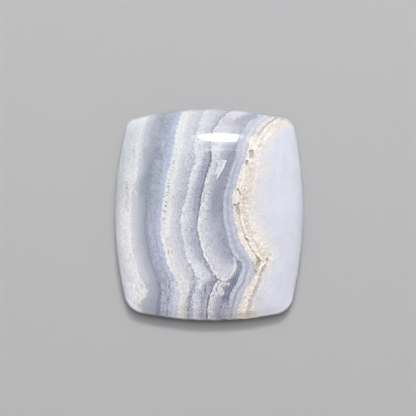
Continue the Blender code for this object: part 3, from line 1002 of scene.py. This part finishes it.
def stone_tree(values):
    """The tree that cuts the stone from its outline, and the identifier of the input for each value."""
    tree = bpy.data.node_groups.new("cut_cabochon", "GeometryNodeTree")
    tree.interface.new_socket("Outline", in_out="INPUT", socket_type="NodeSocketGeometry")
    names = {
        name: tree.interface.new_socket(name, in_out="INPUT", socket_type=socket_kind(value)).identifier
        for name, value in values.items()
    }
    tree.interface.new_socket("Stone", in_out="OUTPUT", socket_type="NodeSocketGeometry")
    start = Wire(tree)

    def inlet(name):
        return start.node("NodeGroupInput", output=name)

    smooth = closed_back(start, stone_surface(start, inlet, inlet("Outline")))
    grained_stone = grained(start, smooth, inlet("Seam Relief"))
    pitted = grained_stone
    for group in range(PIT_GROUPS):
        cutters = pit_cutters(start, grained_stone, inlet("Pit Marks"), group)
        pitted = start.node(
            "GeometryNodeMeshBoolean", {"operation": "DIFFERENCE", "solver": "MANIFOLD"},
            {"Mesh 1": pitted, "Mesh 2": cutters},
        )
    depth = start.node("GeometryNodeProximity", sockets={"Geometry": smooth}, output="Distance")
    sockets = {"Geometry": pitted, "Name": "hollow", "Value": depth / MM}
    marked = start.node("GeometryNodeStoreNamedAttribute", {"data_type": "FLOAT"}, sockets)
    rounded = start.node("GeometryNodeSetShadeSmooth", sockets={"Geometry": marked})
    real = start.node("GeometryNodeRealizeInstances", sockets={"Geometry": rounded})
    sockets = {"Geometry": real, "Material": inlet("Material")}
    finished = start.node("GeometryNodeSetMaterial", sockets=sockets)
    outlet = tree.nodes.new("NodeGroupOutput")
    tree.links.new(finished.socket, outlet.inputs["Stone"])
    return tree, names


def cut_stone(sizes, material):
    """Run the tree on the outline, and return its result as a plain mesh object."""
    blank = outline_object()
    marks = pit_marks()
    values = {sizes.bl_rna.properties[key].name: getattr(sizes, key) for key in sizes.__annotations__}
    values["Half Width"] = (HIGH.x - LOW.x) / 2
    values["Half Length"] = (HIGH.y - LOW.y) / 2
    values["Pit Marks"] = marks
    values["Material"] = material
    tree, names = stone_tree(values)
    cutting = blank.modifiers.new("cut", "NODES")
    cutting.node_group = tree
    for name, value in values.items():
        cutting[names[name]] = value
    depsgraph = bpy.context.evaluated_depsgraph_get()
    mesh = bpy.data.meshes.new_from_object(blank.evaluated_get(depsgraph))
    mesh.name = PIECE
    for item in (blank, marks):
        bpy.data.objects.remove(item)
    return place_object(PIECE, mesh)


def tidy_mesh(mesh):
    """Point all faces outwards and keep only the pit rims sharp."""
    work = bmesh.new()
    work.from_mesh(mesh)
    bmesh.ops.recalc_face_normals(work, faces=work.faces)
    work.to_mesh(mesh)
    work.free()
    mesh.shade_smooth()
    mesh.set_sharp_from_angle(angle=SHARP_ANGLE)


def shade_of(colours, name):
    return (*getattr(colours, name), 1.0)


def layer_coordinate(x, y):
    """0 at the -X limit, 1 at the end of the first layer, and so on, from places in millimetres."""
    across = share_of(x, -HALF_WIDTH_LIMIT, HALF_WIDTH_LIMIT)
    along = share_of(y, *SPAN)
    edges = [0.0, *(edge_share(along, name) for name in LAYER_NAMES[:-1]), 1.0]
    thinnest = THINNEST / (2 * HALF_WIDTH_LIMIT)
    total = 0.0
    for before, after in itertools.pairwise(edges):
        width = (after - before).maths("MAXIMUM", thinnest)
        total = ((across - before) / width).held() + total
    return total


def stops_of(text):
    """The place and the colour's name of each stop, from text such as "0.1 fog, 0.8 milk"."""
    return [(float(place), name) for place, name in map(str.split, text.split(","))]


def layer_colour(layer, side, colours):
    """Colour of the layers in one part of the stone."""
    starts = [LAYER_NAMES.index(name) for name in RAMP_STARTS]
    shade = None
    for first, last in itertools.pairwise((*starts, len(LAYERS))):
        stops = [
            ((index + share) / (last - first), shade_of(colours, shade_name))
            for index, layer_name in enumerate(LAYER_NAMES[first:last])
            for share, shade_name in stops_of(LAYERS[layer_name][side])
        ]
        place = share_of(layer, first, last)
        ramp = layer.node("ShaderNodeValToRGB", {"stops": stops}, {0: place}, output="Color")
        shade = ramp if shade is None else shade.mixed(ramp, layer.maths("GREATER_THAN", first))
    return shade


def layer_values(layer, names, at):
    """Three values of each layer, at a share of its width, as wires between them."""
    stops = [
        ((index + at) / len(LAYERS), (*(values[name] for name in names), 1.0))
        for index, values in enumerate(LAYERS.values())
    ]
    place = layer / len(LAYERS)
    ramp = layer.node("ShaderNodeValToRGB", {"stops": stops}, {0: place}, output="Color")
    return ramp.channels()


def line_along(layer, at, edges):
    """1 on a line at a place on the layer coordinate, and 0 away from it."""
    return abs(layer - at).between(*edges)


def stepped(value, steps, level=0.0):
    """A level that each step changes: where it starts, where it ends, and how much it adds."""
    for start, end, amount in steps:
        level = value.between(start, end) * amount + level
    return level


def stroke_mask(flat, points, half_width):
    """1 on a line through the points and 0 beyond its edge, all in millimetres."""
    nearest = None
    for start, end in itertools.pairwise(points):
        base = Vector((*start, 0.0))
        reach = Vector((*end, 0.0)) - base
        offset = flat.vector("SUBTRACT", tuple(base))
        unit = reach / reach.length_squared
        share = offset.vector("DOT_PRODUCT", tuple(unit), output="Value").held()
        sockets = {0: tuple(reach), "Scale": share}
        foot = flat.node("ShaderNodeVectorMath", {"operation": "SCALE"}, sockets)
        distance = offset.vector("DISTANCE", foot, output="Value")
        nearest = distance if nearest is None else nearest.maths("MINIMUM", distance)
    outer, inner = STROKE_FADE
    return nearest.between(half_width * outer, half_width * inner)


def dot_row(layer, y):
    """A row of small dots along Y, at its place on the layer coordinate."""
    along = (y / DOT_SPACING).maths("PINGPONG", 0.5) * DOT_SPACING
    across = layer - DOT_LAYER
    return (along ** 2 + across ** 2).maths("SQRT").between(*DOT_RADII)


def tongue_drawn_out(layer, y):
    """The layer coordinate with the tongue's light side drawn over its dark side."""
    first = LAYER_NAMES.index("tongue")
    inside = layer.maths("GREATER_THAN", first) * layer.maths("LESS_THAN", first + 1)
    return layer - (layer - first) * curve_at(share_of(y, *SPAN), TONGUE_LIGHT) * inside


def ragged_layer(place, x, y, z):
    """The layer coordinate of a place. The layers lean below the girdle, and their edges are ragged."""
    depth = (GIRDLE_LEVEL - z).maths("MAXIMUM", 0.0)
    lean = place.swing(scale=0.22) * 0.5 + LAYER_LEAN
    layer = layer_coordinate(x - depth * lean, y)
    crosswise = place.vector("MULTIPLY", (0.8, 1.5, 1.0))
    ragged = place.swing(scale=1.2) * 0.35 + crosswise.swing(scale=2.8, roughness=0.65) * 1.2
    lace, _, _ = layer_values(layer, ("lace", "lace", "lace"), 1.0)
    near_edge = layer.maths("PINGPONG", 0.5).between(0.42, 0.15)
    return layer + ragged * lace * near_edge


def height_over_fold(place, x, y):
    """How far a place is past the fold, towards the stone's upper end, in millimetres."""
    height = y - (x - FOLD_TURN).maths("MAXIMUM", 0.0) * FOLD_SLOPE - FOLD_LEVEL
    return height + place.swing(scale=1.0) * 0.3


def band_colour(place, y, layer, over_fold, colours):
    """The layers' colours: one set below the fold, one above it, and one near the upper end."""
    drawn_out = tongue_drawn_out(layer, y)
    above = layer_colour(drawn_out, "above", colours)
    top = layer_colour(drawn_out, "top", colours)
    above = above.mixed(top, (y + place.swing(scale=0.6) * 0.5).between(*UPPER_COLOURS))
    below = layer_colour(layer, "below", colours)
    return below.mixed(above, over_fold.between(-FOLD_SOFTNESS / 2, FOLD_SOFTNESS / 2))


def grain_bed(place, x, y, z, layer, over_fold):
    """Where the grains are read. They grow longer away from the fold, and follow the seam inside it."""
    run = (over_fold * 0.6).maths("MAXIMUM", over_fold - 2.4).maths("MAXIMUM", over_fold * 0.24)
    lean = over_fold.maths("MINIMUM", 0.0) * x.between(0.0, 2.5) * 0.42
    bed = place.joined(x - lean, run, z)
    in_seam = layer.maths("GREATER_THAN", SEAM_START) * layer.maths("LESS_THAN", SEAM_END)
    along_seam = place.joined(layer * 1.1, y * 0.5, z)
    sockets = {"Factor": in_seam, "A": bed, "B": along_seam}
    return bed.node("ShaderNodeMix", {"data_type": "VECTOR"}, sockets)


def dark_lines(shade, place, y, layer, colours):
    """The shade with the tongue's dark outline, the seam's border and the row of dots drawn in."""
    outline = line_along(layer, *TONGUE_OUTLINE) * y.between(9.5, 7.5)
    outline = outline * (1 - y.between(1.0, -0.8) * y.between(-7.5, -5.5) * 0.5)
    gaps = place.swing(scale=0.8).between(-1.1, -0.2).maths("MAXIMUM", y.between(-8.0, -9.0))
    shade = shade.mixed(shade_of(colours, "soot"), outline * gaps * 0.9)
    border = line_along(layer, *SEAM_BORDER) * place.swing(scale=1.1).between(-0.8, 0.5)
    shade = shade.mixed(shade_of(colours, "ash"), border * 0.55)
    dots = dot_row(layer + place.swing(scale=1.6) * 0.09, y + place.swing(scale=0.9) * 0.3)
    dots = dots * y.between(-4.5, 0.5) * y.between(10.5, 9.5)
    dots = dots * place.swing(scale=1.7).between(-0.8, 0.3)
    return shade.mixed(shade_of(colours, "soot"), dots * (0.7 - y.between(4.5, 7.5) * 0.4))


def seam_vein_and_painted_relief(shade, place, y, layer, seam, colours):
    """Draw in the seam's brown vein, painted light on its pale nodules and painted shade between them."""
    vein = line_along(layer, *SEAM_VEIN) * curve_at(share_of(y, *SPAN), VEIN_STRENGTH)
    settings = {"feature": "DISTANCE_TO_EDGE"}
    nodules = place.node("ShaderNodeTexVoronoi", settings, {"Vector": place, "Scale": 1.5})
    in_part = seam * place.swing(scale=0.7).between(-0.5, 0.5)
    # Painted highlight: the middles of the nodules are painted ivory, as if lit.
    shade = shade.mixed(shade_of(colours, "ivory"), nodules.between(0.08, 0.3) * in_part * 0.5)
    # Painted shade: the lines between the nodules darken, as if in shadow, together with the brown vein.
    crack_shade = nodules.between(0.09, 0.02) * in_part
    return shade.mixed(shade_of(colours, "vein"), vein.maths("MAXIMUM", crack_shade * 0.55))


def stroked(shade, place, x, y, z, colours):
    """The shade with all strokes drawn in, a little shaken, on the dome alone."""
    drift = place.node("ShaderNodeTexNoise", sockets={"Vector": place, "Scale": 2.2}, output="Color")
    drift_x, drift_y, _ = drift.channels()
    flat = place.joined(x + drift_x * 0.5 - 0.25, y + drift_y * 0.5 - 0.25, 0.0)
    on_dome = z.between(*DOME_FOOT)
    patches = place.noise(scale=3.2, detail=1.0, roughness=0.6, distortion=1.3)
    patches = patches.between(0.46, 0.6) * on_dome
    for name, shade_name, half_width, strength, points in STROKES:
        mask = stroke_mask(flat, pairs(points), half_width)
        mask = mask * (patches if name in PATCHY else on_dome) * strength
        shade = shade.mixed(shade_of(colours, shade_name), mask)
    return shade


def tone_over_stone(x, y, layer, seam):
    """What the stone's tone gains from place to place."""
    gain = stepped(y, TONE_STEPS, TONE_LEVEL)
    gain = gain + y.between(7.5, 9.0) * abs(x - UPPER_CORE).between(1.5, 3.0) * 0.05
    gain = gain + seam * stepped(y, SEAM_TONE_STEPS)
    gain = gain + y.between(1.5, 4.0) * y.between(9.5, 8.0) * x.between(-8.0, -5.0) * 0.04
    # In the pale field, painted light lifts the lower end against the dome's shade.
    in_field = layer.between(17.7, 18.3)
    return gain + (stepped(y, FIELD_PAINTED_LIGHT_STEPS) - gain) * in_field


def painted_rim_light(x, y, z):
    """Painted light: a painted highlight that the tone gains where the dome thins out towards its edge."""
    # Painted highlight on the upper and lower shoulders, and on the rim at the lower end and the sides.
    shoulder = y.between(9.0, 12.5) * (0.14 - x.between(4.0, 7.0) * 0.1) + y.between(-10.5, -12.5) * 0.05
    rim = y.between(-9.5, -12.0) * 0.38 + abs(x).between(9.5, 12.0) * 0.15
    return z.between(2.9, 1.95) * shoulder + z.between(2.5, 1.8) * rim


def tinted(shade, x, y):
    """The shade with the tints that lie over the banded part of the stone and its lower edge."""
    warmth = y.between(4.5, -3.5).maths("MAXIMUM", x.between(-5.0, 2.0) * 0.8)
    sockets = {"Factor": warmth, "A": COOL_TINT, "B": WARM_TINT}
    tint = y.node("ShaderNodeMix", {"data_type": "RGBA"}, sockets)
    shade = shade.mixed(tint, x.between(5.5, 2.5), "MULTIPLY")
    return shade.mixed(ROSE_TINT, y.between(*LOWER_EDGE), "MULTIPLY")


def add_finish(shader, place, z, seam, pit):
    """Link the shader's roughness and bump: polished, but dull in the seam, the pits and the back."""
    back = z.between(*BACK_FACE)
    wipes = place.vector("MULTIPLY", (2.0, 0.15, 0.15))
    polish = wipes.noise(scale=2.0, detail=3.0, roughness=0.7)
    roughness = polish.between(0.4, 0.65) * 0.05 + seam * 0.25 + back * 0.25 + POLISH
    roughness = roughness + (PIT_ROUGHNESS - roughness) * pit
    relief = place.noise(scale=4.2, detail=3.0, roughness=0.6)
    strength = seam * 0.7 + pit * 0.8 + back * 0.3
    sockets = {"Strength": strength, "Distance": BUMP_HEIGHT, "Height": relief}
    bump = place.node("ShaderNodeBump", sockets=sockets)
    place.tree.links.new(roughness.socket, shader.inputs["Roughness"])
    place.tree.links.new(bump.socket, shader.inputs["Normal"])


def agate_material(colours):
    """The stone's one material: its layers, their lace and grain, and the finish of each."""
    material = bpy.data.materials.new("banded_agate")
    material.use_nodes = True
    tree = material.node_tree
    shader = tree.nodes["Principled BSDF"]
    place = Wire(tree).node("ShaderNodeTexCoord", output="Object").scaled(1 / MM)
    x, y, z = place.parts()
    layer = ragged_layer(place, x, y, z)
    over_fold = height_over_fold(place, x, y)
    shade = band_colour(place, y, layer, over_fold, colours)

    pale, dark, grain = layer_values(layer, ("pale", "dark", "grain"), 0.5)
    streaks = layer.joined(layer * 6.0, y * 0.4, z * 0.4).swing(scale=1.0, detail=3.0)
    fine = place.noise(scale=2.9, roughness=0.6, distortion=0.5)
    bed = grain_bed(place, x, y, z, layer, over_fold)
    coarse = bed.vector("MULTIPLY", (1.1, 1.0, 1.0)).noise(scale=2.8, detail=3.0, roughness=0.65)
    shade = shade.mixed(shade_of(colours, "snow"), (fine + pale * 0.5).between(0.68, 0.95) * 0.7)
    seam = layer.between(SEAM_START - SEAM_ONSET, SEAM_START + SEAM_ONSET)
    seam = seam * layer.between(SEAM_END, SEAM_END - SEAM_FADE)
    sockets = {"Factor": seam, "A": shade_of(colours, "speck"), "B": shade_of(colours, "vein")}
    speck = seam.node("ShaderNodeMix", {"data_type": "RGBA"}, sockets)
    shade = shade.mixed(speck, (coarse + dark * 0.3).between(0.69, 0.8) * 0.65)

    shade = dark_lines(shade, place, y, layer, colours)
    # The seam's brown vein, and painted light and shade on the seam's relief.
    shade = seam_vein_and_painted_relief(shade, place, y, layer, seam, colours)
    shade = stroked(shade, place, x, y, z, colours)

    cells = bed.noise(scale=3.0, detail=1.0, roughness=0.7, distortion=1.3)
    cells = (cells + bed.noise(scale=6.5, detail=0.0) * 0.8) * 4.5 - 4.05
    grain = grain * over_fold.between(0.3, -0.3) * 0.25 + grain
    grain = grain * (1 - y.between(9.5, 11.5) * 0.3)
    gain = tone_over_stone(x, y, layer, seam)
    # Painted highlight along the dome's rim, added to the tone.
    rim_light_paint = painted_rim_light(x, y, z)
    tone = streaks * 0.045 + place.swing(scale=0.3) * 0.015 + cells * grain + gain + rim_light_paint + 1.03
    shade = shade.node("ShaderNodeHueSaturation", sockets={"Value": tone, "Color": shade})
    shade = tinted(shade, x, y)

    hollow = place.node("ShaderNodeAttribute", {"attribute_name": "hollow"}, output="Fac")
    pit = hollow.between(*PIT_FLOOR)
    shade = shade.mixed(shade_of(colours, "umber"), pit * 0.8)
    tree.links.new(shade.socket, shader.inputs["Base Color"])
    add_finish(shader, place, z, seam, pit)
    shader.inputs["IOR"].default_value = STONE_IOR
    return material


class CABOCHON_OT_cut_stone(bpy.types.Operator):
    """Cut, polish and colour the stone"""

    bl_idname = "cabochon.cut_stone"
    bl_label = "Cut Stone"

    def execute(self, context):
        material = agate_material(context.scene.cabochon_colours)
        stone = cut_stone(context.scene.cabochon_sizes, material)
        if not stone.data.polygons:
            raise RuntimeError("the stone came out empty")
        tidy_mesh(stone.data)
        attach(stone, "root")
        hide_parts(NODE)
        return {"FINISHED"}


def floor_material(shade):
    material = bpy.data.materials.new("studio_floor")
    material.use_nodes = True
    shader = material.node_tree.nodes["Principled BSDF"]
    shader.inputs["Base Color"].default_value = (*shade, 1.0)
    shader.inputs["Roughness"].default_value = FLOOR_ROUGHNESS
    return material


def add_floor(settings):
    """A square just below the flat back, so that the two don't lie in one plane."""
    half = settings.floor_size / 2
    mesh = bpy.data.meshes.new("floor")
    corners = [(-half, -half), (half, -half), (half, half), (-half, half)]
    mesh.from_pydata([(x, y, -FLOOR_GAP) for x, y in corners], [], [(0, 1, 2, 3)])
    mesh.materials.append(floor_material(settings.floor))
    floor = place_object("floor", mesh)
    return floor


def add_panel(name, panel, floor):
    """A soft light that faces the stone. One that is for the floor alone casts the stone's shadow."""
    shape, at, size, roll, radiance = panel
    light = bpy.data.lights.new(name, "AREA")
    light.shape = shape
    light.size, light.size_y = size
    light.energy = radiance * math.pi * light.size * light.size_y
    item = bpy.data.objects.new(name, light)
    bpy.context.scene.collection.objects.link(item)
    item.location = at
    facing = (-Vector(at)).to_track_quat("-Z", "Y")
    item.rotation_euler = (facing @ Quaternion((0.0, 0.0, 1.0), math.radians(roll))).to_euler()
    item.visible_camera = False
    if name == FLOOR_LIGHT:
        lit = bpy.data.collections.new("lit_floor")
        lit.objects.link(floor)
        item.light_linking.receiver_collection = lit


def add_camera(settings, aim):
    camera = bpy.data.cameras.new("camera")
    camera.sensor_width = SENSOR_WIDTH
    camera.lens = camera.sensor_width * settings.camera_height / settings.frame_width
    camera.clip_start, camera.clip_end = CLIP_RANGE
    item = bpy.data.objects.new("camera", camera)
    bpy.context.scene.collection.objects.link(item)
    item.location = (aim[0], aim[1], settings.camera_height)
    bpy.context.scene.camera = item


def set_world(shade, strength):
    world = bpy.data.worlds.new("studio")
    world.use_nodes = True
    background = world.node_tree.nodes["Background"]
    background.inputs["Color"].default_value = (*shade, 1.0)
    background.inputs["Strength"].default_value = strength
    bpy.context.scene.world = world


# The soft lights: the shape of each, its place and size in metres, its roll in degrees and its
# radiance. The first two are the softbox, the next two its dimmer surroundings, and the window and
# its sill a fainter light below it.
PANELS = {
    "softbox": ("RECTANGLE", (0.061, 0.3714, 0.4845), (0.122, 0.066), 4, 29.0),
    "softbox_end": ("ELLIPSE", (0.016, 0.3714, 0.4845), (0.124, 0.060), 4, 26.0),
    "softbox_halo": ("ELLIPSE", (-0.030, 0.370, 0.486), (0.110, 0.120), 4, 1.6),
    "softbox_glow": ("ELLIPSE", (0.050, 0.388, 0.471), (0.180, 0.060), 4, 3.0),
    "window": ("RECTANGLE", (0.060, 0.332, 0.512), (0.106, 0.026), 10, 2.0),
    "floor_key": ("RECTANGLE", (0.020, 0.260, 0.490), (0.350, 0.350), 0, 13.0),
    "window_sill": ("RECTANGLE", (0.052, 0.2826, 0.5455), (0.130, 0.005), 14, 10.5),
}
FLOOR_LIGHT = "floor_key"

ROOM_COLOUR = (1.0, 1.0, 1.0)
ROOM_STRENGTH = 0.685

FLOOR_ROUGHNESS = 0.85

# How far the floor lies below the stone's flat back.
FLOOR_GAP = 0.02 * MM

# The point over which the camera stands, in millimetres from the stone's middle.
CAMERA_AIM = (-0.146, 0.887)

# The camera's sensor in millimetres, and the nearest and the furthest that it sees in metres.
SENSOR_WIDTH = 36.0
CLIP_RANGE = (0.01, 10.0)


class CABOCHON_OT_set_stage(bpy.types.Operator):
    """Lay the floor, and place the lights and the camera"""

    bl_idname = "cabochon.set_stage"
    bl_label = "Set Stage"

    def execute(self, context):
        settings = context.scene.cabochon_studio
        floor = add_floor(settings)
        set_world(ROOM_COLOUR, ROOM_STRENGTH)
        for name, panel in PANELS.items():
            add_panel(name, panel, floor)
        add_camera(settings, [part * MM for part in CAMERA_AIM])
        context.scene.view_settings.view_transform = "Standard"
        return {"FINISHED"}


class CABOCHON_PT_panel(bpy.types.Panel):
    """The cabochon's settings and steps"""

    bl_idname = "CABOCHON_PT_panel"
    bl_label = "Banded Cabochon"
    bl_space_type = "VIEW_3D"
    bl_region_type = "UI"
    bl_category = "Cabochon"

    def draw(self, context):
        scene = context.scene
        for group in (scene.cabochon_sizes, scene.cabochon_colours, scene.cabochon_studio):
            box = self.layout.box()
            for name in group.__annotations__:
                box.prop(group, name)
        for operator in OPERATORS:
            self.layout.operator(operator.bl_idname)


OPERATORS = (CABOCHON_OT_cut_stone, CABOCHON_OT_set_stage)
GROUPS = {
    "cabochon_sizes": CabochonSizes,
    "cabochon_colours": CabochonColours,
    "cabochon_studio": StudioSettings,
}


def register():
    for group in GROUPS.values():
        bpy.utils.register_class(group)
    for name, group in GROUPS.items():
        setattr(bpy.types.Scene, name, bpy.props.PointerProperty(type=group))
    for kind in (*OPERATORS, CABOCHON_PT_panel):
        bpy.utils.register_class(kind)


def unregister():
    for kind in reversed((*OPERATORS, CABOCHON_PT_panel)):
        bpy.utils.unregister_class(kind)
    for name, group in GROUPS.items():
        delattr(bpy.types.Scene, name)
        bpy.utils.unregister_class(group)


def main():
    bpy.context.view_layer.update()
    register()
    bpy.ops.cabochon.cut_stone()
    bpy.ops.cabochon.set_stage()


if __name__ == "__main__":
    main()
